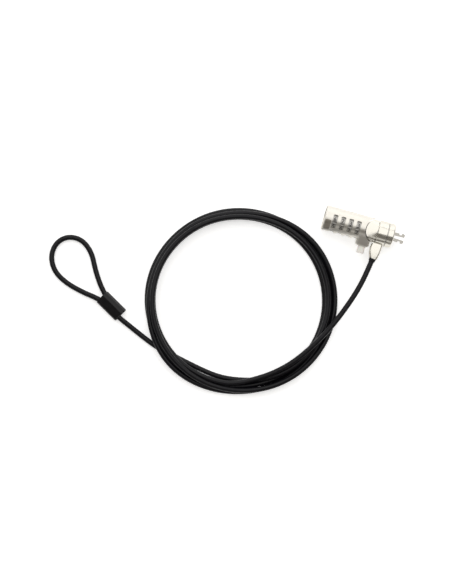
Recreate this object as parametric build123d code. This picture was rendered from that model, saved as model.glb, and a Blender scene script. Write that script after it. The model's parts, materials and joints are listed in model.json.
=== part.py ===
from build123d import *
import math
import os

# Laptop cable lock: a four-dial combination barrel, a swivelling head with two scissor
# hooks for a 7 x 3 mm security slot, and a coiled steel cable with a crimped loop.
# Row frame: +X along the lock towards its hooks, +Z up, the lock lying on its side.
# The lock's pieces are drawn about the barrel's axis, x measured from the barrel's left
# end, and moved into the row frame when they are written. The cord is drawn in the row frame.

os.makedirs("parts", exist_ok=True)

# ---- barrel ----
BARREL_R = 9.5
BARREL_L = 38.2
BARREL_BORE_R = 8.8
LOCK_L = 61.2
LUG_REACH = 20.069
LOCK_LOW_Y = -20.432
PLACE = Pos(-LOCK_L / 2, -(LOCK_LOW_Y + BARREL_R) / 2, BARREL_R)

# ---- dials ----
DIAL_COUNT = 4
DIGITS = 10
DIAL_PITCH = 5.95
FIRST_DIAL_X = 7.6
DIAL_R = 8.65
DIAL_W = 5.6
DIAL_BORE_R = 5.2
READ_WINDOW_W = 3.45
FINGER_WINDOW_W = 3.9
SLEEVE_R = 5.15
SLEEVE_BORE_R = 3.7
GATE_R = 2.9
LUG_R = 2.8
dial_xs = [FIRST_DIAL_X + i * DIAL_PITCH for i in range(DIAL_COUNT)]

# ---- pivot, head and collar ----
PIVOT_X = 41.0
KNUCKLE_R = 9.35
DRUM_RIM_Z = 7.5
DRUM_TOP_Z = 9.3
SCALLOP_R = 10.0
NECK_X = 39.9
NECK_R = 7.2
SLOT_END_X = 44.4
SLOT_HALF = 4.4
FORK_INNER_Z = 2.4
FORK_OUTER_Z = 4.2
FORK_HALF_W = 3.0
PIN_R = 1.2
COLLAR_R = 9.4
COLLAR_X = 40.55
COLLAR_END_X = 47.5
NOSE_X = 48.1
NOSE_END_X = 52.9
NOSE_R = 9.3
SPIGOT_R = 5.2
SPIGOT_END_X = 51.6

# ---- release button, spindle and hooks ----
TRAVEL = 2.4
ROD_R = 1.9
TIP_R = 2.0
TIP_X = PIVOT_X + TRAVEL
BOSS_X0 = 27.2
BOSS_X1 = 37.1
BOSS_Y = -13.3
BOSS_ROOT_Y = -6.4
BOSS_ROOT_Z = 6.9
BOSS_END_Z = 3.95
TAB_X0 = 29.8
TAB_X1 = 35.0
TAB_END_Y = -18.6
TAB_HALF_Z = 2.7
FLANGE_OUT_Y = -12.4
FLANGE_IN_Y = -11.4
CAM_X0 = 28.9
CAM_X1 = 30.6
CAM_TIP_Y = -1.85
HOOK_PIN_X = 50.5
HOOK_PIN_Y = 2.0
HOOK_PIN_R = 0.7
HOOK_HALF_Z = 1.3

# ---- cable ----
CABLE_R = 2.0
COIL_X = -73.1
COIL_Y = -71.0
COIL_INNER_R = 58.5
COIL_OUTER_R = 71.5
COIL_H = 9.0
SLEEVE_X = -165.7
SLEEVE_Y = -101.1
SLEEVE_Z = 3.2
SLEEVE_TURN = -29.0
COVER_L = 20.0
COVER_W = 11.5
CREST_Y = 1.6
CREST_Z = 4.3
CRIMP_L = 19.0
CRIMP_W = 9.0
CRIMP_H = 5.2
STRAND_OFFSET = 2.15


def rod(radius, x0, x1, y=0.0, z=0.0):
    """A cylinder along X."""
    bar = Cylinder(radius, x1 - x0, align=(Align.CENTER, Align.CENTER, Align.MIN))
    return Pos(x0, y, z) * Rot(0, 90, 0) * bar


def post(radius, z0, z1, x, y):
    """A cylinder along Z."""
    bar = Cylinder(radius, z1 - z0, align=(Align.CENTER, Align.CENTER, Align.MIN))
    return Pos(x, y, z0) * bar


def block(x0, x1, y0, y1, z0, z1):
    """A box between two corners."""
    box = Box(x1 - x0, y1 - y0, z1 - z0)
    return Pos((x0 + x1) / 2, (y0 + y1) / 2, (z0 + z1) / 2) * box


def write(part, name, place=PLACE):
    """Moves a piece into the row frame and writes it."""
    export_step(place * part, f"parts/{name}.step")


def about_barrel(angle):
    """Turns a piece about the barrel's axis, from +Z towards -Y as the angle grows."""
    return Rot(angle, 0, 0)


# ---------------------------------------------------------------- barrel


def window(x, width, chord, corner):
    """A rounded window's cutter, standing out of the axis along +Z."""
    outline = Pos(x, 0, 5.0) * RectangleRounded(width, chord, corner)
    return extrude(outline, 6.0)


def button_boss():
    """The boss round the button, sloping down from the barrel to its outer end."""
    outline = Polyline(
        (0.0, BOSS_ROOT_Z),
        (BOSS_ROOT_Y, BOSS_ROOT_Z),
        (BOSS_Y, BOSS_END_Z),
        (BOSS_Y, -BOSS_END_Z),
        (BOSS_ROOT_Y, -BOSS_ROOT_Z),
        (0.0, -BOSS_ROOT_Z),
        close=True,
    )
    boss = extrude(Plane.YZ * make_face(outline), BOSS_X1 - BOSS_X0)
    outer = boss.faces().sort_by(Axis.Y)[0]
    boss = fillet(outer.edges().filter_by(Axis.X), 1.4)
    outer = boss.faces().sort_by(Axis.Y)[0]
    boss = chamfer(outer.edges().filter_by(Axis.Z), 1.2)
    return Pos(BOSS_X0, 0, 0) * boss


def barrel_shell():
    body = rod(BARREL_R, 0.0, BARREL_L)
    body = fillet(body.faces().sort_by(Axis.X)[0].edges(), 0.5)
    body = body + button_boss()
    body = body - rod(BARREL_BORE_R, -1.0, BARREL_L + 1.0)
    body = body - post(SCALLOP_R, -BARREL_R - 1, BARREL_R + 1, PIVOT_X, 0.0)
    for x in dial_xs:
        body = body - about_barrel(10.5) * window(x, READ_WINDOW_W, 9.9, 0.8)
        body = body - about_barrel(92.0) * window(x, FINGER_WINDOW_W, 8.4, 1.2)
    pocket = block(28.55, 35.7, FLANGE_OUT_Y - 0.1, -7.0, -3.45, 3.45)
    slot = block(TAB_X0 - 0.15, TAB_X1 + 0.15, BOSS_Y - 1, -9.0, -2.85, 2.85)
    return body - pocket - slot


def end_cap():
    body = rod(BARREL_BORE_R - 0.02, 0.5, 2.6)
    body = chamfer(body.faces().sort_by(Axis.X)[0].edges(), 0.3)
    body = body - rod(2.55, 0.0, 2.0)
    return body - rod(1.55, 1.0, 3.0)


def reset_screw():
    body = rod(2.5, 0.7, 2.0)
    body = chamfer(body.faces().sort_by(Axis.X)[0].edges(), 0.2)
    body = body + rod(1.5, 1.9, 2.7)
    return body - block(0.0, 1.3, -3.0, 3.0, -0.4, 0.4)


def thrust_ring():
    return rod(BARREL_BORE_R - 0.1, 2.65, 4.55) - rod(6.0, 2.0, 5.0)


def dial(x):
    half = DIAL_W / 2
    body = rod(DIAL_R, x - half, x + half)
    body = chamfer(body.faces().sort_by(Axis.X)[0].edges(), 0.25)
    body = chamfer(body.faces().sort_by(Axis.X)[-1].edges(), 0.25)
    body = body - rod(DIAL_BORE_R, x - half - 1, x + half + 1)
    for i in range(DIGITS):
        turn = about_barrel((i + 0.5) * 360 / DIGITS)
        flute = rod(0.55, x - half - 1, x + half + 1, 0.0, DIAL_R + 0.2)
        key_way = block(x - half - 1, x + half + 1, -0.5, 0.5, 4.0, 5.75)
        body = body - turn * flute - turn * key_way
    return body


def gate_sleeve(x):
    """The inner sleeve that the dial drives, with its gate ring and the notch in it."""
    half = DIAL_W / 2 - 0.05
    body = rod(SLEEVE_R, x - half, x + half)
    for side in (0.5, 5.5):
        key = block(x - half, x + half, -0.42, 0.42, 4.0, 5.65)
        body = body + about_barrel(side * 360 / DIGITS) * key
    body = body - rod(SLEEVE_BORE_R, x - half - 1, x - 0.6)
    body = body - rod(SLEEVE_BORE_R, x + 1.1, x + half + 1)
    body = body - rod(GATE_R, x - half, x + half)
    return body - block(x - half, x + half, -1.1, 1.1, 0.0, SLEEVE_BORE_R)


def detent_washers():
    """Thin washers between the dials, and one beside the last."""
    rings = []
    for x in dial_xs:
        side = x + DIAL_W / 2
        ring = rod(8.4, side + 0.05, side + 0.22) - rod(5.8, side - 1, side + 1)
        rings.append(ring)
    return Compound(children=rings)


# ---------------------------------------------------------------- spindle and release


def spindle():
    """The locking rod: four short lugs, the cam notch and the ball tip."""
    left = FIRST_DIAL_X - 0.2
    body = rod(ROD_R, left, 33.6) + rod(1.6, 33.4, TIP_X)
    body = body + Pos(TIP_X, 0, 0) * Sphere(TIP_R)
    for x in dial_xs:
        tooth = rod(LUG_R, x + 1.3, x + 2.5)
        keep = block(x + 1.0, x + 3.0, -0.9, 0.9, 0.0, LUG_R + 1)
        body = body + (tooth & keep)
    notch_x0 = CAM_X0 - 0.1
    notch_x1 = CAM_X1 + TRAVEL + 0.1
    floor_y = 0.6
    outline = Polyline(
        (notch_x0, -2.0),
        (notch_x0 + floor_y + 2.0, floor_y),
        (notch_x1, floor_y),
        (notch_x1, -2.0),
        close=True,
    )
    notch = extrude(Pos(0, 0, -3) * make_face(outline), 6.0)
    return body - notch


def coil_spring(radius, wire, x0, x1, turns):
    """A compression spring along X, with the wire's centre inside both ends."""
    length = x1 - x0 - 2 * wire
    line = Helix(length / turns, length, radius)
    start = Plane(origin=line @ 0, z_dir=line % 0)
    body = sweep(start * Circle(wire), path=line, is_frenet=True)
    return Pos(x0 + wire, 0, 0) * Rot(0, 90, 0) * body


def release_button():
    """The white thumb button, with a wider flange that keeps it in the boss."""
    tab = block(TAB_X0, TAB_X1, TAB_END_Y, FLANGE_OUT_Y + 0.5, -TAB_HALF_Z, TAB_HALF_Z)
    tab = fillet(tab.edges().filter_by(Axis.Y), 1.1)
    tip = tab.faces().sort_by(Axis.Y)[0]
    tab = fillet(tip.edges(), 0.5)
    middle = (TAB_X0 + TAB_X1) / 2
    dip = post(1.6, -TAB_HALF_Z - 1, TAB_HALF_Z + 1, middle, TAB_END_Y - 1.2)
    flange = block(28.7, 35.5, FLANGE_OUT_Y, FLANGE_IN_Y, -3.3, 3.3)
    return tab - dip + flange


def release_cam():
    """The steel blade on the button, whose slanted tip works the spindle."""
    outline = Polyline(
        (CAM_X0, FLANGE_IN_Y),
        (CAM_X1, FLANGE_IN_Y),
        (CAM_X1, CAM_TIP_Y),
        (CAM_X0 + 0.15, CAM_TIP_Y),
        (CAM_X0, CAM_TIP_Y - 0.15),
        close=True,
    )
    return extrude(Pos(0, 0, -1.4) * make_face(outline), 2.8)


def pivot_fork():
    """The plug in the barrel's end, with the two plates that carry the pivot."""
    plug = rod(BARREL_BORE_R - 0.02, 28.5, 37.5)
    plug = plug - post(SCALLOP_R, -10, 10, PIVOT_X, 0.0)
    plates = block(29.5, PIVOT_X, -FORK_HALF_W, FORK_HALF_W, FORK_INNER_Z, FORK_OUTER_Z)
    plates = plates + post(FORK_HALF_W, FORK_INNER_Z, FORK_OUTER_Z, PIVOT_X, 0.0)
    plates = plates + mirror(plates, Plane.XY)
    body = plug + plates
    body = body - post(PIN_R + 0.07, -6, 6, PIVOT_X, 0.0)
    body = body - rod(ROD_R + 0.1, 28.0, 33.0)
    return body - block(28.0, CAM_X1 + 0.1, -9.5, 0.0, -1.5, 1.5)


# ---------------------------------------------------------------- head


def knuckle():
    """The hinge drum with coned ends, the collar's neck and the nose's spigot, in one piece."""
    drum = post(KNUCKLE_R, -DRUM_RIM_Z, DRUM_RIM_Z, PIVOT_X, 0.0)
    cone = Cone(KNUCKLE_R, 0.5, DRUM_TOP_Z - DRUM_RIM_Z, align=(Align.CENTER, Align.CENTER, Align.MIN))
    cone = Pos(PIVOT_X, 0, DRUM_RIM_Z) * cone
    drum = drum + cone + mirror(cone, Plane.XY)
    drum = drum & rod(KNUCKLE_R, PIVOT_X - 12, NECK_X)
    body = drum + rod(NECK_R, NECK_X - 0.5, NOSE_X - 0.05)
    body = body + rod(SPIGOT_R, NOSE_X - 0.5, SPIGOT_END_X)
    body = body - block(30.0, SLOT_END_X, -12, 12, -SLOT_HALF, SLOT_HALF)
    body = body - rod(3.0, SLOT_END_X - 1, 48.2)
    body = body - rod(1.3, 47.0, 50.0)
    body = body - block(49.2, SPIGOT_END_X + 1, -4.0, 4.0, -1.45, 1.45)
    body = body - post(PIN_R, -10, 10, PIVOT_X, 0.0)
    for side in (-1, 1):
        body = body - post(HOOK_PIN_R, -6, 6, HOOK_PIN_X, side * HOOK_PIN_Y)
    return body


def pivot_pins():
    """Two stub pins, one each side, so that the push rod passes between them."""
    pin = post(PIN_R, FORK_INNER_Z + 0.1, 6.9, PIVOT_X, 0.0)
    return Compound(children=[pin, mirror(pin, Plane.XY)])


def nose_knob():
    body = rod(NOSE_R, NOSE_X, NOSE_END_X)
    body = fillet(body.faces().sort_by(Axis.X)[-1].edges(), 1.3)
    body = chamfer(body.faces().sort_by(Axis.X)[0].edges(), 0.2)
    body = body - rod(SPIGOT_R + 0.03, NOSE_X - 1, SPIGOT_END_X + 0.05)
    return body - block(51.0, 54.0, -3.6, 3.6, -1.5, 1.5)


def plunger():
    """The push rod in the head, whose blade holds the hooks apart."""
    body = rod(2.2, 45.5, 46.5) + rod(1.15, 46.0, 49.4)
    return body + block(49.2, 53.4, -0.8, 0.8, -0.8, 0.8)


def hook():
    """The hook on the +Y side: a flat steel arm with a notch behind its head."""
    outline = Polyline(
        (49.6, 1.0),
        (61.2, 1.25),
        (61.2, 2.9),
        (60.5, 3.7),
        (59.2, 3.7),
        (58.8, 2.3),
        (57.2, 2.3),
        (56.8, 3.4),
        (52.0, 3.15),
        (49.6, 3.0),
        close=True,
    )
    arm = extrude(Pos(0, 0, -HOOK_HALF_Z) * make_face(outline), 2 * HOOK_HALF_Z)
    arm = chamfer(arm.faces().sort_by(Axis.X)[-1].edges().filter_by(Axis.Y), 0.35)
    return arm - post(HOOK_PIN_R + 0.05, -2, 2, HOOK_PIN_X, HOOK_PIN_Y)


def hook_pins():
    pins = [post(HOOK_PIN_R, -4.2, 4.2, HOOK_PIN_X, s * HOOK_PIN_Y) for s in (-1, 1)]
    return Compound(children=pins)


# ---------------------------------------------------------------- collar and its cable end


LUG_ROOT = Vector(44.3, -8.0, 0.0)
LUG_TIP = Vector(42.8, -LUG_REACH, 0.0)
LUG_WAY = (LUG_TIP - LUG_ROOT).normalized()


def lug_plane(distance):
    """The plane across the lug, this far from its root."""
    return Plane(origin=LUG_ROOT + LUG_WAY * distance, x_dir=(0, 0, 1), z_dir=LUG_WAY)


def cable_collar():
    """The ring that turns on the head's neck, with the lug that holds the cable."""
    ring = rod(COLLAR_R, COLLAR_X, COLLAR_END_X)
    ring = chamfer(ring.faces().sort_by(Axis.X)[0].edges(), 0.2)
    ring = chamfer(ring.faces().sort_by(Axis.X)[-1].edges(), 0.2)
    length = (LUG_TIP - LUG_ROOT).length
    root = lug_plane(0.0) * Pos(0, 1.1) * RectangleRounded(7.4, 7.6, 1.6)
    middle = lug_plane(length * 0.5) * Pos(0, 0.85) * RectangleRounded(7.2, 8.4, 1.6)
    tip = lug_plane(length) * RectangleRounded(6.3, 5.9, 1.6)
    body = ring + loft([root, middle, tip])
    body = body - rod(NECK_R + 0.1, COLLAR_X - 1, COLLAR_END_X + 1)
    body = body - rod(8.35, COLLAR_END_X - 0.6, COLLAR_END_X + 1)
    body = body - rod(COLLAR_R + 0.15, COLLAR_X - 4, COLLAR_X)
    hole = extrude(lug_plane(-3.0) * Circle(CABLE_R + 0.05), length + 5)
    seat = extrude(lug_plane(-3.0) * Circle(2.65), 6.8)
    return body - hole - seat


def cable_ferrule():
    """The steel end crimped on the cable, stopped by the lug's step."""
    length = (LUG_TIP - LUG_ROOT).length
    head = extrude(lug_plane(0.9) * Circle(2.6), 2.8)
    shank = extrude(lug_plane(0.9) * Circle(CABLE_R), length - 0.9)
    return head + shank


def swivel_washer():
    x0 = COLLAR_END_X - 0.55
    x1 = NOSE_X - 0.05
    return rod(8.25, x0, x1) - rod(NECK_R + 0.1, x0 - 1, x1 + 1)


# ---------------------------------------------------------------- cable, coil and loop


def sleeve_point(along, across, z=SLEEVE_Z):
    """A point of the loop's sleeve, along it towards the coil and across it."""
    turn = math.radians(SLEEVE_TURN)
    x = SLEEVE_X + along * math.cos(turn) - across * math.sin(turn)
    y = SLEEVE_Y + along * math.sin(turn) + across * math.cos(turn)
    return (x, y, z)


# From the collar's lug, over the coil's edge and into it.
lock_tail_route = [
    (12.2, -14.61, 9.5),
    (10.6, -27.5, 9.5),
    (7.6, -41.2, 9.2),
    (2.6, -55.0, 8.4),
    (-3.4, -68.5, 7.2),
    (-10.2, -79.6, 6.0),
]

# Out of the coil and along the surface to the sleeve.
loop_tail_route = [
    (-107.0, -125.4, 3.2),
    (-124.5, -121.8, 2.2),
    (-139.0, -117.4, 2.2),
    sleeve_point(20.5, -STRAND_OFFSET),
    sleeve_point(10.3, -STRAND_OFFSET),
]

# Through the sleeve, round the loop and back into the sleeve.
loop_route = [
    sleeve_point(10.3, -STRAND_OFFSET),
    sleeve_point(-14.8, -STRAND_OFFSET),
    (-189.2, -96.8, 2.4),
    (-202.2, -94.0, 2.1),
    (-213.6, -88.0, 2.1),
    (-219.6, -77.8, 2.1),
    (-218.6, -66.8, 2.1),
    (-211.2, -59.6, 2.1),
    (-200.3, -59.2, 2.1),
    (-190.8, -66.4, 2.2),
    (-185.4, -79.6, 2.6),
    sleeve_point(-16.6, STRAND_OFFSET),
    sleeve_point(8.0, STRAND_OFFSET),
]


def corner_radii(points):
    """Each corner's radius, from its shorter run and the angle it turns."""
    spots = [Vector(*p) for p in points]
    radii = []
    for a, b, c in zip(spots, spots[1:], spots[2:]):
        turn = math.radians((b - a).get_angle(c - b))
        radii.append(0.45 * min((b - a).length, (c - b).length) / math.tan(turn / 2))
    return radii


def cord_tube(name, points):
    """A round tube on straight runs joined by tangent arcs."""
    radii = corner_radii(points)
    path = FilletPolyline(*points, radius=radii)
    tube = sweep(Plane(origin=path @ 0, z_dir=path % 0) * Circle(CABLE_R), path=path)
    expected = math.pi * CABLE_R**2 * path.length
    print(name, "radii", [round(r, 1) for r in radii], "length", round(path.length, 1))
    print(name, "volume over section x length", round(tube.volume / expected, 4))
    return tube


def cable_coil():
    """The outer shape of the coiled turns, lying flat."""
    middle = (COIL_INNER_R + COIL_OUTER_R) / 2
    width = COIL_OUTER_R - COIL_INNER_R
    outline = Pos(middle, COIL_H / 2) * RectangleRounded(width, COIL_H, 2.2)
    ring = revolve(Rot(90, 0, 0) * outline, Axis.Z)
    return Pos(COIL_X, COIL_Y, 0) * ring


def in_sleeve(solid):
    return Pos(SLEEVE_X, SLEEVE_Y, SLEEVE_Z) * Rot(0, 0, SLEEVE_TURN) * solid


def stadium(width, height, length):
    """A bar along X with round sides."""
    outline = Plane.YZ * SlotOverall(width, height)
    return extrude(outline, length / 2, both=True)


def crimp_sleeve():
    body = stadium(CRIMP_W, CRIMP_H, CRIMP_L)
    for side in (-1, 1):
        body = body - rod(CABLE_R + 0.03, -CRIMP_L, CRIMP_L, side * STRAND_OFFSET)
    return in_sleeve(body)


def sleeve_cover():
    """The vinyl cover over the crimp: flat below, with a crest along it, off its middle."""
    half = COVER_W / 2
    outline = Polyline(
        (-half, -SLEEVE_Z),
        (-half, 0.6),
        (-half + 0.85, 2.0),
        (CREST_Y, CREST_Z),
        (half - 1.35, 3.3),
        (half, 1.0),
        (half, -SLEEVE_Z),
        close=True,
    )
    body = extrude(Plane.YZ * make_face(outline), COVER_L / 2, both=True)
    body = fillet(body.edges().filter_by(Axis.X), 0.8)
    for end in (0, -1):
        body = chamfer(body.faces().sort_by(Axis.X)[end].edges(), 0.5)
    return in_sleeve(body - stadium(CRIMP_W + 0.04, CRIMP_H + 0.04, COVER_L + 2))


# ---------------------------------------------------------------- write every node


write(barrel_shell(), "barrel_shell")
write(end_cap(), "end_cap")
write(reset_screw(), "reset_screw")
write(thrust_ring(), "thrust_ring")
for number, dial_x in enumerate(dial_xs, start=1):
    write(dial(dial_x), f"dial_{number}")
    write(gate_sleeve(dial_x), f"gate_sleeve_{number}")
write(detent_washers(), "detent_washers")
write(spindle(), "spindle")
write(coil_spring(1.5, 0.22, 2.75, FIRST_DIAL_X - 0.25, 4), "spindle_spring")
write(release_button(), "release_button")
write(release_cam(), "release_cam")
write(pivot_fork(), "pivot_fork")
write(knuckle(), "knuckle")
write(pivot_pins(), "pivot_pins")
write(nose_knob(), "nose_knob")
write(plunger(), "plunger")
write(coil_spring(2.0, 0.18, 46.55, 48.15, 3), "plunger_spring")
write(hook(), "hook_left")
write(mirror(hook(), Plane.XZ), "hook_right")
write(hook_pins(), "hook_pins")
write(cable_collar(), "cable_collar")
write(swivel_washer(), "swivel_washer")
write(cable_ferrule(), "cable_ferrule")
at_rest = Pos(0, 0, 0)
write(cord_tube("cable_lock_tail", lock_tail_route), "cable_lock_tail", at_rest)
write(cable_coil(), "cable_coil", at_rest)
write(cord_tube("cable_loop_tail", loop_tail_route), "cable_loop_tail", at_rest)
write(cord_tube("cable_loop", loop_route), "cable_loop", at_rest)
write(crimp_sleeve(), "crimp_sleeve", at_rest)
write(sleeve_cover(), "sleeve_cover", at_rest)
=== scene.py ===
import json
import math

import bmesh
import bpy
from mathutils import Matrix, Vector


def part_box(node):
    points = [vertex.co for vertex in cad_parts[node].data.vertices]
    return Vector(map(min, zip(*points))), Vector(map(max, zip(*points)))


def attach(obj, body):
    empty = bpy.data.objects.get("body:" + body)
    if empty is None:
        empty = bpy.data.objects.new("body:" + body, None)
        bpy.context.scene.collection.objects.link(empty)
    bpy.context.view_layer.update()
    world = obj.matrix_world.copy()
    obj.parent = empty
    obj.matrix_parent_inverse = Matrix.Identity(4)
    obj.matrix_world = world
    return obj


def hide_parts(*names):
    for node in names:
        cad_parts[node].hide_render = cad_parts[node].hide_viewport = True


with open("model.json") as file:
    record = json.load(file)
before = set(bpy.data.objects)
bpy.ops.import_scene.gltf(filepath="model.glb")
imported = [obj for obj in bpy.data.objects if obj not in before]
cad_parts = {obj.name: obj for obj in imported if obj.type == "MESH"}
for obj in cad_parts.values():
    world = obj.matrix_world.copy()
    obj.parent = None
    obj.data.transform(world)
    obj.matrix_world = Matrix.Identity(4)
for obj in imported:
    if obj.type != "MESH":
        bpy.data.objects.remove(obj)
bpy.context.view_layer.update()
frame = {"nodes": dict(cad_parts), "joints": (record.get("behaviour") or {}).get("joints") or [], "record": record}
nodes = frame["nodes"]

# A laptop cable lock lying on a table: a nickel plated combination barrel, a swivelling
# head with two steel hooks, and two metres of vinyl covered wire rope in loose turns.
# Lengths are in millimetres where a name or a comment says so, and otherwise in metres.

MM = 0.001
pivot = Vector(next(j["pos_m"] for j in frame["joints"] if j["name"] == "barrel_pivot"))
AXIS_Y = pivot.y
AXIS_Z = pivot.z


# ---------------------------------------------------------------- small helpers


def linear(hex_colour, alpha=1.0):
    """An sRGB hex colour as linear values."""
    values = [int(hex_colour[i : i + 2], 16) / 255 for i in (1, 3, 5)]
    return (*[v / 12.92 if v <= 0.04045 else ((v + 0.055) / 1.055) ** 2.4 for v in values], alpha)


def add(tree, kind, inputs=(), **settings):
    """Adds a node. Each input is a number, a colour or the socket that feeds it."""
    made = tree.nodes.new(kind)
    for name, value in settings.items():
        setattr(made, name, value)
    for key, value in dict(inputs).items():
        if isinstance(value, bpy.types.NodeSocket):
            tree.links.new(value, made.inputs[key])
        else:
            made.inputs[key].default_value = value
    return made


def material(name, colour, metallic, roughness, **sockets):
    """A material with its shader's plain values set, and its tree and shader to add to."""
    made = bpy.data.materials.new(name)
    made.use_nodes = True
    shader = made.node_tree.nodes["Principled BSDF"]
    shader.inputs["Base Color"].default_value = linear(colour)
    shader.inputs["Metallic"].default_value = metallic
    shader.inputs["Roughness"].default_value = roughness
    for socket, value in sockets.items():
        shader.inputs[socket.replace("_", " ")].default_value = value
    return made, made.node_tree, shader


def varied(tree, shader, size_mm, dark, light, low_rough, high_rough, stretch=(1, 1, 1)):
    """Colour and roughness that drift between two values over patches of about this size."""
    place = add(tree, "ShaderNodeTexCoord")
    scaled = add(tree, "ShaderNodeMapping", {"Vector": place.outputs["Object"], "Scale": stretch})
    cloud = add(
        tree,
        "ShaderNodeTexNoise",
        {
            "Vector": scaled.outputs["Vector"],
            "Scale": 1 / (size_mm * MM),
            "Detail": 5.0,
            "Roughness": 0.6,
        },
    )
    tint = add(tree, "ShaderNodeMix", {"Factor": cloud.outputs["Fac"]}, data_type="RGBA")
    tint.inputs["A"].default_value = linear(dark)
    tint.inputs["B"].default_value = linear(light)
    tree.links.new(tint.outputs["Result"], shader.inputs["Base Color"])
    rough = add(
        tree,
        "ShaderNodeMapRange",
        {
            "Value": cloud.outputs["Fac"],
            "From Min": 0.3,
            "From Max": 0.7,
            "To Min": low_rough,
            "To Max": high_rough,
        },
    )
    tree.links.new(rough.outputs["Result"], shader.inputs["Roughness"])
    return place


def bumped(tree, shader, height, depth_mm, strength=1.0):
    """Raises the surface by a pattern, which is this deep."""
    relief = add(
        tree,
        "ShaderNodeBump",
        {"Height": height, "Distance": depth_mm * MM, "Strength": strength},
    )
    tree.links.new(relief.outputs["Normal"], shader.inputs["Normal"])


def fine_grain(tree, place, size_mm, detail):
    """The height of an even grain, from its place or from a mapping of it."""
    grain = add(
        tree,
        "ShaderNodeTexNoise",
        {"Vector": place, "Scale": 1 / (size_mm * MM), "Detail": detail},
    )
    return grain.outputs["Fac"]


def lathe_rings(tree, place, size_mm, distortion):
    """The height of the rings that a lathe leaves round the part's length."""
    rings = add(
        tree,
        "ShaderNodeTexWave",
        {
            "Vector": place,
            "Scale": 0.5 / (size_mm * MM),
            "Distortion": distortion,
            "Detail": 2.0,
        },
        bands_direction="X",
    )
    return rings.outputs["Fac"]


# ---------------------------------------------------------------- finishes


def satin_nickel():
    """Pearl nickel on a blasted zinc casting: a soft grey-cream glow and a fine even grain."""
    made, tree, shader = material("satin_nickel_plate", "#DFDCD4", 1.0, 0.36)
    place = varied(tree, shader, 7.0, "#D7D3C9", "#E5E2DB", 0.31, 0.4)
    grain = fine_grain(tree, place.outputs["Object"], 0.22, 3.0)
    bumped(tree, shader, grain, 0.008, 0.55)
    return made


def polished_nickel():
    """Bright nickel over turned steel: a mirror with faint rings left by the lathe."""
    made, tree, shader = material("polished_nickel_plate", "#DEDBD2", 1.0, 0.2)
    place = varied(tree, shader, 9.0, "#D8D4C9", "#E3E0D8", 0.16, 0.25)
    rings = lathe_rings(tree, place.outputs["Object"], 0.32, 0.6)
    bumped(tree, shader, rings, 0.003, 0.45)
    return made


def dial_nickel():
    """Plated zinc wheels under years of thumbs: greyer than the barrel and a little rubbed."""
    made, tree, shader = material("rubbed_dial_plate", "#A9A7A2", 1.0, 0.32)
    place = varied(tree, shader, 2.2, "#8F8D89", "#BDBBB6", 0.24, 0.42)
    grain = fine_grain(tree, place.outputs["Object"], 0.18, 2.0)
    bumped(tree, shader, grain, 0.006, 0.5)
    return made


def figure_ink():
    """Black enamel wiped into the figures: dull, slightly uneven."""
    made, tree, shader = material("black_enamel_ink", "#1B1A18", 0.0, 0.45)
    varied(tree, shader, 0.9, "#141312", "#26241F", 0.36, 0.56)
    return made


def turned_steel():
    """Free cutting steel off the lathe: cool grey with fine rings."""
    made, tree, shader = material("turned_steel", "#B4B4B3", 1.0, 0.26)
    place = varied(tree, shader, 3.0, "#A6A6A5", "#C0C0BE", 0.2, 0.33)
    rings = lathe_rings(tree, place.outputs["Object"], 0.2, 1.2)
    bumped(tree, shader, rings, 0.004, 0.4)
    return made


def hook_steel():
    """Hardened and plated steel plate: bright faces with long brushed scratches."""
    made, tree, shader = material("plated_hook_steel", "#A9A6A0", 1.0, 0.26)
    place = varied(tree, shader, 2.4, "#8F8C86", "#BAB7B0", 0.2, 0.34)
    scaled = add(
        tree,
        "ShaderNodeMapping",
        {"Vector": place.outputs["Object"], "Scale": (0.06, 1, 1)},
    )
    scratches = fine_grain(tree, scaled.outputs["Vector"], 0.12, 3.0)
    bumped(tree, shader, scratches, 0.006, 0.5)
    return made


def spring_wire():
    """Oil tempered spring wire: dark grey and lightly drawn along its length."""
    made, tree, shader = material("spring_wire", "#7C7B7A", 1.0, 0.3)
    varied(tree, shader, 1.5, "#6C6B6A", "#8C8B89", 0.24, 0.38)
    return made


def turned_brass():
    """Turned brass: warm yellow with a dull bloom where it rubs."""
    made, tree, shader = material("turned_brass", "#C9A35A", 1.0, 0.3)
    varied(tree, shader, 2.5, "#B88F48", "#D3B06C", 0.24, 0.42)
    return made


def bare_zinc():
    """A raw zinc casting: bluish grey and matt, with the mould's fine grain."""
    made, tree, shader = material("bare_zinc_casting", "#9B9DA0", 1.0, 0.5)
    place = varied(tree, shader, 3.5, "#8B8D91", "#AAACAE", 0.44, 0.6)
    grain = fine_grain(tree, place.outputs["Object"], 0.3, 4.0)
    bumped(tree, shader, grain, 0.02, 0.6)
    return made


def white_button():
    """Moulded white ABS: nearly glossy, faintly warm, with a soft edge to its shadows."""
    made, tree, shader = material(
        "moulded_white_abs",
        "#F1EFE8",
        0.0,
        0.28,
        Subsurface_Weight=0.12,
        Subsurface_Scale=0.6 * MM,
    )
    place = varied(tree, shader, 3.0, "#ECE9E0", "#F5F3EE", 0.22, 0.36)
    grain = fine_grain(tree, place.outputs["Object"], 0.35, 2.0)
    bumped(tree, shader, grain, 0.004, 0.4)
    return made


def pressed_alloy():
    """Soft aluminium squeezed in a die: pale, with streaks along the sleeve."""
    made, tree, shader = material("pressed_aluminium", "#C4C5C6", 1.0, 0.36)
    varied(tree, shader, 1.4, "#B2B3B5", "#D0D1D2", 0.3, 0.46, stretch=(0.4, 1, 1))
    return made


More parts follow.
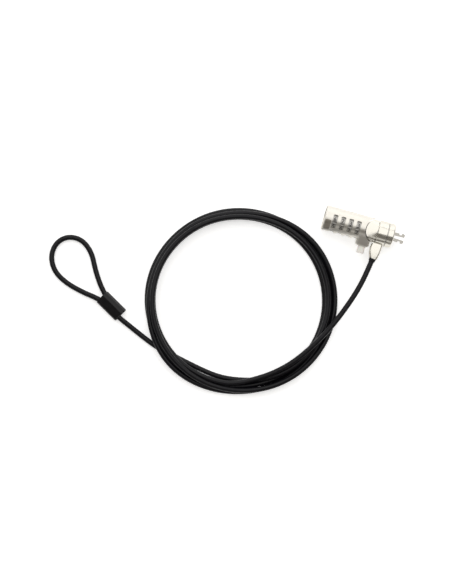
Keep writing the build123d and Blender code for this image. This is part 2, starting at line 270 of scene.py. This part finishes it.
def black_vinyl():
    """Moulded black vinyl: a soft grey sheen, orange peel and light scuffs."""
    made, tree, shader = material(
        "moulded_black_vinyl",
        "#0D0C0F",
        0.0,
        0.38,
        Specular_IOR_Level=0.18,
        Coat_Weight=0.2,
        Coat_Roughness=0.2,
    )
    place = varied(tree, shader, 3.2, "#0A090B", "#131115", 0.32, 0.46)
    peel = fine_grain(tree, place.outputs["Object"], 0.5, 3.0)
    bumped(tree, shader, peel, 0.03, 0.6)
    return made


WAVE_SCALE = 0.314  # a wave texture with this scale repeats once in each unit
WIRE_MM = 0.9  # the real wires are 0.3 mm thick, which would be too fine to see
WIRE_SLANT = 38
KNURL_MM = 0.7
KNURL_ANGLE = 40


def rope_jacket():
    """Black vinyl drawn tight over wire rope: glossy, with the wires' slant showing through."""
    made, tree, shader = material(
        "vinyl_over_wire_rope",
        "#0A090C",
        0.0,
        0.3,
        Specular_IOR_Level=0.12,
        Coat_Weight=0.2,
        Coat_Roughness=0.08,
    )
    varied(tree, shader, 16.0, "#09090C", "#121116", 0.26, 0.38)
    round_rope = add(tree, "ShaderNodeUVMap", uv_map="rope")
    slanted = add(
        tree,
        "ShaderNodeMapping",
        {"Vector": round_rope.outputs["UV"], "Rotation": (0, 0, math.radians(WIRE_SLANT))},
    )
    wires = add(
        tree,
        "ShaderNodeTexWave",
        {
            "Vector": slanted.outputs["Vector"],
            "Scale": WAVE_SCALE / WIRE_MM,
            "Distortion": 0.25,
            "Detail": 1.0,
        },
        bands_direction="X",
    )
    bumped(tree, shader, wires.outputs["Fac"], 0.05, 0.7)
    return made


def knurled_panel():
    """A blank grip patch cut in the plate: tiny crossed grooves that look darker than it."""
    made, tree, shader = material("knurled_nickel_patch", "#A8A196", 1.0, 0.38)
    place = varied(tree, shader, 1.6, "#8E887D", "#B3ADA2", 0.32, 0.46)
    grooves = []
    for way in (KNURL_ANGLE, -KNURL_ANGLE):
        turned = add(
            tree,
            "ShaderNodeMapping",
            {"Vector": place.outputs["Object"], "Rotation": (0, 0, math.radians(way))},
        )
        grooves.append(
            add(
                tree,
                "ShaderNodeTexWave",
                {
                    "Vector": turned.outputs["Vector"],
                    "Scale": WAVE_SCALE / (KNURL_MM * MM),
                    "Distortion": 0.0,
                },
                bands_direction="X",
            )
        )
    crossed = add(
        tree,
        "ShaderNodeMath",
        {0: grooves[0].outputs["Fac"], 1: grooves[1].outputs["Fac"]},
        operation="MINIMUM",
    )
    bumped(tree, shader, crossed.outputs["Value"], 0.05, 0.8)
    return made


SATIN = satin_nickel()
POLISHED = polished_nickel()
DIAL = dial_nickel()
INK = figure_ink()
STEEL = turned_steel()
HOOK = hook_steel()
SPRING = spring_wire()
BRASS = turned_brass()
ZINC = bare_zinc()
WHITE = white_button()
ALLOY = pressed_alloy()
VINYL = black_vinyl()
ROPE = rope_jacket()
PANEL = knurled_panel()

finishes = {
    "satin_nickel": SATIN,
    "polished_nickel": POLISHED,
    "dial_nickel": DIAL,
    "brass": BRASS,
    "zinc": ZINC,
    "steel": STEEL,
    "hook_steel": HOOK,
    "spring_steel": SPRING,
    "white_plastic": WHITE,
    "cable_jacket": ROPE,
    "crimp_alloy": ALLOY,
    "black_plastic": VINYL,
}

for subpart in frame["record"]["subparts"]:
    shell = nodes[subpart["node"]]
    shell.data.materials.clear()
    shell.data.materials.append(finishes[subpart["material_slot"]])


# ---------------------------------------------------------------- the cable's line

CABLE_R = 2.0
COIL_X = -73.1
COIL_Y = -71.0
SLEEVE_X = -165.7
SLEEVE_Y = -101.1
SLEEVE_Z = 3.2
SLEEVE_TURN = math.radians(-29.0)
STRAND_OFFSET = 2.15
FLOOR = 2.05

# From the collar's lug, over the turns and down to their inner edge.
lock_tail = [
    (12.2, -14.61, 9.5),
    (10.6, -27.5, 9.5),
    (7.6, -41.2, 9.6),
    (3.4, -54.0, 9.7),
    (-1.6, -67.0, 9.9),
    (-7.8, -80.0, 9.9),
    (-15.2, -92.6, 9.3),
    (-23.2, -104.0, 8.8),
    (-32.2, -113.4, 7.6),
    (-42.8, -121.8, 6.4),
]

# The turns run clockwise, seen from above. Each row is one turn and gives its radius, or
# its height, at eight places, 45 degrees apart, from the lower side of the coil onwards.
FIRST_STATION = -80.0
STATION_STEP = -45.0
turn_radii = [
    (62.2, 64.6, 66.2, 64.4, 62.4, 62.5, 62.4, 63.2),
    (64.2, 68.2, 70.6, 69.0, 67.4, 66.6, 66.3, 66.9),
    (68.3, 71.5, 68.6, 67.0, 65.4, 69.2, 70.1, 68.5),
    (66.8, 66.5, 66.2, 64.4, 62.5, 64.6, 64.6, 62.8),
    (58.9,),
]
turn_heights = [
    (5.8, 6.2, FLOOR, FLOOR, FLOOR, FLOOR, FLOOR, FLOOR),
    (FLOOR, 6.2, FLOOR, FLOOR, FLOOR, FLOOR, FLOOR, FLOOR),
    (FLOOR, 6.2, 5.5, 5.5, 5.4, 4.8, FLOOR, 5.9),
    (5.5, 9.4, 8.7, 8.7, 8.5, 5.5, 5.5, 5.9),
    (FLOOR,),
]
POINTS_A_STATION = 3

# Under the turns and along the table to the sleeve.
loop_tail = [
    (-75.0, -130.4, FLOOR),
    (-87.0, -129.0, FLOOR),
    (-98.8, -126.8, FLOOR),
    (-112.0, -124.2, FLOOR),
    (-125.5, -121.4, FLOOR),
    (-138.0, -116.4, FLOOR),
]


def sleeve_point(along, across, z=SLEEVE_Z):
    """A point of the loop's sleeve, along it towards the coil and across it."""
    x = SLEEVE_X + along * math.cos(SLEEVE_TURN) - across * math.sin(SLEEVE_TURN)
    y = SLEEVE_Y + along * math.sin(SLEEVE_TURN) + across * math.cos(SLEEVE_TURN)
    return (x, y, z)


# Through the sleeve, round the loop and back into the sleeve.
loop = [
    sleeve_point(19.0, -1.2, 2.6),
    sleeve_point(9.5, -STRAND_OFFSET),
    sleeve_point(-7.0, -STRAND_OFFSET),
    (-180.4, -98.0, 2.9),
    (-188.4, -97.1, 2.4),
    (-202.2, -94.0, 2.1),
    (-213.6, -88.0, 2.1),
    (-219.6, -77.8, 2.1),
    (-218.6, -66.8, 2.1),
    (-211.2, -59.6, 2.1),
    (-200.3, -59.2, 2.1),
    (-190.8, -66.4, 2.2),
    (-184.4, -78.6, 2.6),
    (-178.4, -87.4, 2.8),
    (-174.6, -91.8, 3.1),
    sleeve_point(-6.5, STRAND_OFFSET),
    sleeve_point(8.0, STRAND_OFFSET),
]


def eased(values, place):
    """The value at a place along a row of stations, on a smooth curve through them."""
    i = min(int(place), len(values) - 2)
    t = place - i
    last = len(values) - 1
    before, a, b, after = (values[min(max(i + k, 0), last)] for k in (-1, 0, 1, 2))
    bend = (2 * before - 5 * a + 4 * b - after) * t * t + (3 * a - before - 3 * b + after) * t**3
    return a + 0.5 * ((b - before) * t + bend)


def coil_turns():
    """The turns' control points, each a little outside the line, which cuts their corners."""
    radii = [r for row in turn_radii for r in row]
    heights = [z for row in turn_heights for z in row]
    step = STATION_STEP / POINTS_A_STATION
    outside = 1 / math.cos(math.radians(step / 2))
    points = []
    for i in range((len(radii) - 1) * POINTS_A_STATION + 1):
        angle = math.radians(FIRST_STATION + i * step)
        radius = eased(radii, i / POINTS_A_STATION) * outside
        height = eased(heights, i / POINTS_A_STATION)
        x = COIL_X + radius * math.cos(angle)
        y = COIL_Y + radius * math.sin(angle)
        points.append((x, y, max(height, FLOOR)))
    return points


def nurbs_line(points, detail):
    """The points of a smooth open line that these control points shape, read from its spline."""
    data = bpy.data.curves.new("line", "CURVE")
    data.dimensions = "3D"
    data.resolution_u = detail
    spline = data.splines.new("NURBS")
    spline.points.add(len(points) - 1)
    for spot, point in zip(spline.points, points):
        spot.co = (*[v * MM for v in point], 1.0)
    spline.order_u = 3
    spline.use_endpoint_u = True
    holder = bpy.data.objects.new("line", data)
    mesh = bpy.data.meshes.new_from_object(holder)
    line = [v.co.copy() for v in mesh.vertices]
    bpy.data.objects.remove(holder)
    bpy.data.meshes.remove(mesh)
    return line


def place_piece(name, mesh, finish, body, smooth=True):
    """Adds a mesh as a piece that rides on a body."""
    mesh.materials.append(finish)
    if smooth:
        mesh.shade_smooth()
    piece = bpy.data.objects.new(name, mesh)
    bpy.context.scene.collection.objects.link(piece)
    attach(piece, body)
    return piece


STRANDS = 6
LAY_MM = 26.0
GROOVE_MM = 0.11
GROOVE_SHARPNESS = 3
SIDES = 36
LINE_DETAIL = 10


def rope_tube(line):
    """A tube along the line whose jacket shows the rope's strands as shallow spiral grooves."""
    mesh = bmesh.new()
    layer = mesh.loops.layers.uv.new("rope")
    side = (line[1] - line[0]).orthogonal().normalized()
    travelled = 0.0
    rings = []
    marks = []
    for i, point in enumerate(line):
        way = (line[min(i + 1, len(line) - 1)] - line[max(i - 1, 0)]).normalized()
        side = (side - way * side.dot(way)).normalized()
        up = way.cross(side)
        if i:
            travelled += (point - line[i - 1]).length
        twist = travelled / (LAY_MM * MM)
        ring = []
        for k in range(SIDES):
            share = k / SIDES
            wave = 0.5 + 0.5 * math.cos(2 * math.pi * STRANDS * (share - twist))
            groove = wave**GROOVE_SHARPNESS
            radius = (CABLE_R - GROOVE_MM * groove) * MM
            turn = 2 * math.pi * share
            out = side * math.cos(turn) + up * math.sin(turn)
            ring.append(mesh.verts.new(point + radius * out))
        rings.append(ring)
        marks.append(travelled / MM)
    round_mm = 2 * math.pi * CABLE_R
    for i in range(len(rings) - 1):
        for k in range(SIDES):
            nxt = (k + 1) % SIDES
            face = mesh.faces.new(
                (rings[i][k], rings[i][nxt], rings[i + 1][nxt], rings[i + 1][k])
            )
            corners = ((marks[i], k), (marks[i], k + 1), (marks[i + 1], k + 1), (marks[i + 1], k))
            for loop_corner, (along, around) in zip(face.loops, corners):
                loop_corner[layer].uv = (along, around / SIDES * round_mm)
    for ring in (rings[0][::-1], rings[-1]):
        mesh.faces.new(ring)
    made = bpy.data.meshes.new("cable")
    mesh.to_mesh(made)
    mesh.free()
    return made


cable_line = nurbs_line(lock_tail + coil_turns() + loop_tail + loop, LINE_DETAIL)
cable = place_piece("cable", rope_tube(cable_line), ROPE, "collar")
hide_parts("cable_lock_tail", "cable_coil", "cable_loop_tail", "cable_loop")


def lathed(profile, centre, way, sides=64):
    """A ring turned about an axis, from its outline's (along, radius) points in millimetres."""
    way = Vector(way).normalized()
    side = way.orthogonal().normalized()
    up = way.cross(side)
    mesh = bmesh.new()
    rings = []
    for k in range(sides):
        turn = 2 * math.pi * k / sides
        out = side * math.cos(turn) + up * math.sin(turn)
        ring = []
        for along, radius in profile:
            spot = Vector(centre) + way * along * MM + out * radius * MM
            ring.append(mesh.verts.new(spot))
        rings.append(ring)
    count = len(profile)
    for k in range(sides):
        for i in range(count):
            j = (i + 1) % count
            nxt = (k + 1) % sides
            mesh.faces.new((rings[k][i], rings[k][j], rings[nxt][j], rings[nxt][i]))
    bmesh.ops.recalc_face_normals(mesh, faces=mesh.faces)
    made = bpy.data.meshes.new("lathed")
    mesh.to_mesh(made)
    mesh.free()
    return made


# A small black ring where the cable leaves the lug, with two rings and a tapered lip. It is painted shadow: a dark
# piece put at the lug's mouth, where there is only the cable's shade.
exit_point = Vector(lock_tail[0]) * MM
exit_way = (Vector(lock_tail[1]) - Vector(lock_tail[0])).normalized()
exit_shadow_outline = [
    (0.05, 2.06),
    (0.05, 2.5),
    (0.35, 2.62),
    (0.75, 2.6),
    (0.95, 2.42),
    (1.15, 2.4),
    (1.4, 2.5),
    (1.75, 2.46),
    (2.1, 2.25),
    (2.3, 2.06),
]
exit_shadow_mesh = lathed(exit_shadow_outline, exit_point, exit_way)
# This black ring stands for the shadow where the cable leaves the lug; it is not a real part.
exit_shadow_ring = place_piece("cable_exit_shadow_ring", exit_shadow_mesh, VINYL, "collar")


# ---------------------------------------------------------------- figures on the dials

LOWER_FIGURES = (5, 6, 2, 2)
FIGURES = 10
FIGURE_STEP = 360 / FIGURES
FIGURE_SIZE_MM = 4.5
FIGURE_BOLD_MM = 0.05
FIGURE_BLOCK_MM = 0.5
SLICE_MM = 0.35
RAISED_MM = 0.03
SUNK_MM = 0.06


def flat_figure(digit):
    """One figure as a thin flat mesh, centred, in millimetres, sliced so that it can bend."""
    text = bpy.data.curves.new("figure", "FONT")
    text.body = str(digit)
    text.size = FIGURE_SIZE_MM
    text.offset = FIGURE_BOLD_MM
    text.extrude = FIGURE_BLOCK_MM
    text.align_x = "CENTER"
    text.resolution_u = 6
    holder = bpy.data.objects.new("figure", text)
    mesh = bpy.data.meshes.new_from_object(holder)
    bpy.data.objects.remove(holder)
    made = bmesh.new()
    made.from_mesh(mesh)
    bpy.data.meshes.remove(mesh)
    ys = [v.co.y for v in made.verts]
    xs = [v.co.x for v in made.verts]
    middle = Vector(((min(xs) + max(xs)) / 2, (min(ys) + max(ys)) / 2, 0.0))
    for v in made.verts:
        v.co -= middle
    height = max(ys) - min(ys)
    for i in range(1, int(height / SLICE_MM) + 1):
        bmesh.ops.bisect_plane(
            made,
            geom=made.verts[:] + made.edges[:] + made.faces[:],
            plane_co=(0, -height / 2 + i * SLICE_MM, 0),
            plane_no=(0, 1, 0),
        )
    return made


def dial_figures(number, lower):
    """The ten figures round a dial, with this one on its lower side and the next above it."""
    low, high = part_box(f"dial_{number}")
    middle_x = (low.x + high.x) / 2
    radius = (high.z - low.z) / 2
    whole = bmesh.new()
    for digit in range(FIGURES):
        figure = flat_figure(digit)
        centre = math.radians(FIGURE_STEP * (1 - (digit - lower)))
        for v in figure.verts:
            angle = centre - v.co.y * MM / radius
            lift = RAISED_MM if v.co.z > 0 else -SUNK_MM
            out = radius + lift * MM
            x = middle_x + v.co.x * MM
            v.co = (x, AXIS_Y - out * math.sin(angle), AXIS_Z + out * math.cos(angle))
        part = bpy.data.meshes.new("figure")
        figure.to_mesh(part)
        figure.free()
        whole.from_mesh(part)
        bpy.data.meshes.remove(part)
    made = bpy.data.meshes.new("figures")
    whole.to_mesh(made)
    whole.free()
    name = f"dial_{number}_figures"
    place_piece(name, made, INK, f"wheel_{number}", smooth=False)


for number, lower in enumerate(LOWER_FIGURES, start=1):
    dial_figures(number, lower)


# ---------------------------------------------------------------- grip patch on the barrel


PATCH_X0 = -29.7
PATCH_X1 = -25.5
PATCH_FROM = 8.0
PATCH_TO = 60.0
PATCH_RAISED_MM = 0.03
PATCH_SUNK_MM = 0.15


def barrel_patch(x0, x1, angle0, angle1, rows=24, columns=8, corner=0.9):
    """A thin rounded patch that follows the barrel, angles from +Z towards -Y in degrees."""
    low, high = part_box("barrel_shell")
    radius = (high.z - low.z) / 2
    middle_x = (x0 + x1) / 2
    half_x = (x1 - x0) / 2
    half_arc = math.radians(angle1 - angle0) / 2 * radius / MM
    middle_angle = math.radians((angle0 + angle1) / 2)
    mesh = bmesh.new()
    layers = []
    for lift in (PATCH_RAISED_MM, -PATCH_SUNK_MM):
        grid = []
        for i in range(rows + 1):
            arc = half_arc * (2 * i / rows - 1)
            over = max(abs(arc) - (half_arc - corner), 0.0)
            narrowed = half_x - (corner - math.sqrt(max(corner**2 - over**2, 0.0)))
            line = []
            for k in range(columns + 1):
                x = middle_x + narrowed * (2 * k / columns - 1)
                angle = middle_angle + arc * MM / radius
                out = radius + lift * MM
                spot = (x * MM, AXIS_Y - out * math.sin(angle), AXIS_Z + out * math.cos(angle))
                line.append(mesh.verts.new(spot))
            grid.append(line)
        layers.append(grid)
    for grid in layers:
        for i in range(rows):
            for k in range(columns):
                mesh.faces.new(
                    (grid[i][k], grid[i][k + 1], grid[i + 1][k + 1], grid[i + 1][k])
                )
    top, bottom = layers
    rim = [(i, 0) for i in range(rows)] + [(rows, k) for k in range(columns)]
    rim += [(i, columns) for i in range(rows, 0, -1)] + [(0, k) for k in range(columns, 0, -1)]
    for (i, k), (m, n) in zip(rim, rim[1:] + rim[:1]):
        mesh.faces.new((top[i][k], top[m][n], bottom[m][n], bottom[i][k]))
    bmesh.ops.recalc_face_normals(mesh, faces=mesh.faces)
    made = bpy.data.meshes.new("patch")
    mesh.to_mesh(made)
    mesh.free()
    return made


patch_mesh = barrel_patch(PATCH_X0, PATCH_X1, PATCH_FROM, PATCH_TO)
place_piece("grip_patch", patch_mesh, PANEL, "barrel", smooth=False)


# ---------------------------------------------------------------- table, light and camera


TABLE_HALF = 3.0


def table():
    """A plain white table top."""
    half = TABLE_HALF
    mesh = bpy.data.meshes.new("table")
    corners = [(-half, -half, 0), (half, -half, 0), (half, half, 0), (-half, half, 0)]
    mesh.from_pydata(corners, [], [(0, 1, 2, 3)])
    finish = material("white_table", "#F6F6F6", 0.0, 0.6, Emission_Strength=0.5)[0]
    mesh.materials.append(finish)
    floor = bpy.data.objects.new("table", mesh)
    bpy.context.scene.collection.objects.link(floor)


def soft_light(name, centre, target, width, height, watts, colour="#FFFFFF"):
    """A rectangular soft light that faces a point."""
    data = bpy.data.lights.new(name, "AREA")
    data.shape = "RECTANGLE"
    data.size = width
    data.size_y = height
    data.energy = watts
    data.color = linear(colour)[:3]
    lamp = bpy.data.objects.new(name, data)
    lamp.location = centre
    lamp.rotation_mode = "QUATERNION"
    lamp.rotation_quaternion = (Vector(target) - Vector(centre)).to_track_quat("-Z", "Y")
    bpy.context.scene.collection.objects.link(lamp)


VIEW_X = -0.0859
VIEW_Y = -0.0678
VIEW_TURN = math.radians(15.7)
CAMERA_HEIGHT = 0.90
VIEW_HEIGHT = 0.4385

table()
soft_light("overhead_box", (-0.1, 0.49, 1.2), (-0.1, 0.25, 0.0), 2.6, 1.5, 15.0)
soft_light("back_wall", (-0.2, 1.75, 0.62), (-0.08, -0.05, 0.0), 2.8, 1.3, 15.0)
soft_light("left_wall", (-1.5, 0.1, 0.7), (-0.05, 0.0, 0.0), 1.6, 1.0, 4.0)
soft_light("low_fill", (-0.1, -1.6, 0.9), (-0.08, -0.05, 0.0), 1.6, 0.5, 1.4)

world = bpy.data.worlds.new("studio")
world.use_nodes = True
world.node_tree.nodes["Background"].inputs["Color"].default_value = linear("#8E8A84")
world.node_tree.nodes["Background"].inputs["Strength"].default_value = 0.7
bpy.context.scene.world = world
bpy.context.scene.view_settings.view_transform = "Standard"

camera_data = bpy.data.cameras.new("camera")
camera_data.sensor_width = 36.0
camera_data.lens = camera_data.sensor_width * CAMERA_HEIGHT / VIEW_HEIGHT
camera = bpy.data.objects.new("camera", camera_data)
camera.location = (VIEW_X, VIEW_Y, CAMERA_HEIGHT)
camera.rotation_euler = (0.0, 0.0, VIEW_TURN)
bpy.context.scene.collection.objects.link(camera)
bpy.context.scene.camera = camera
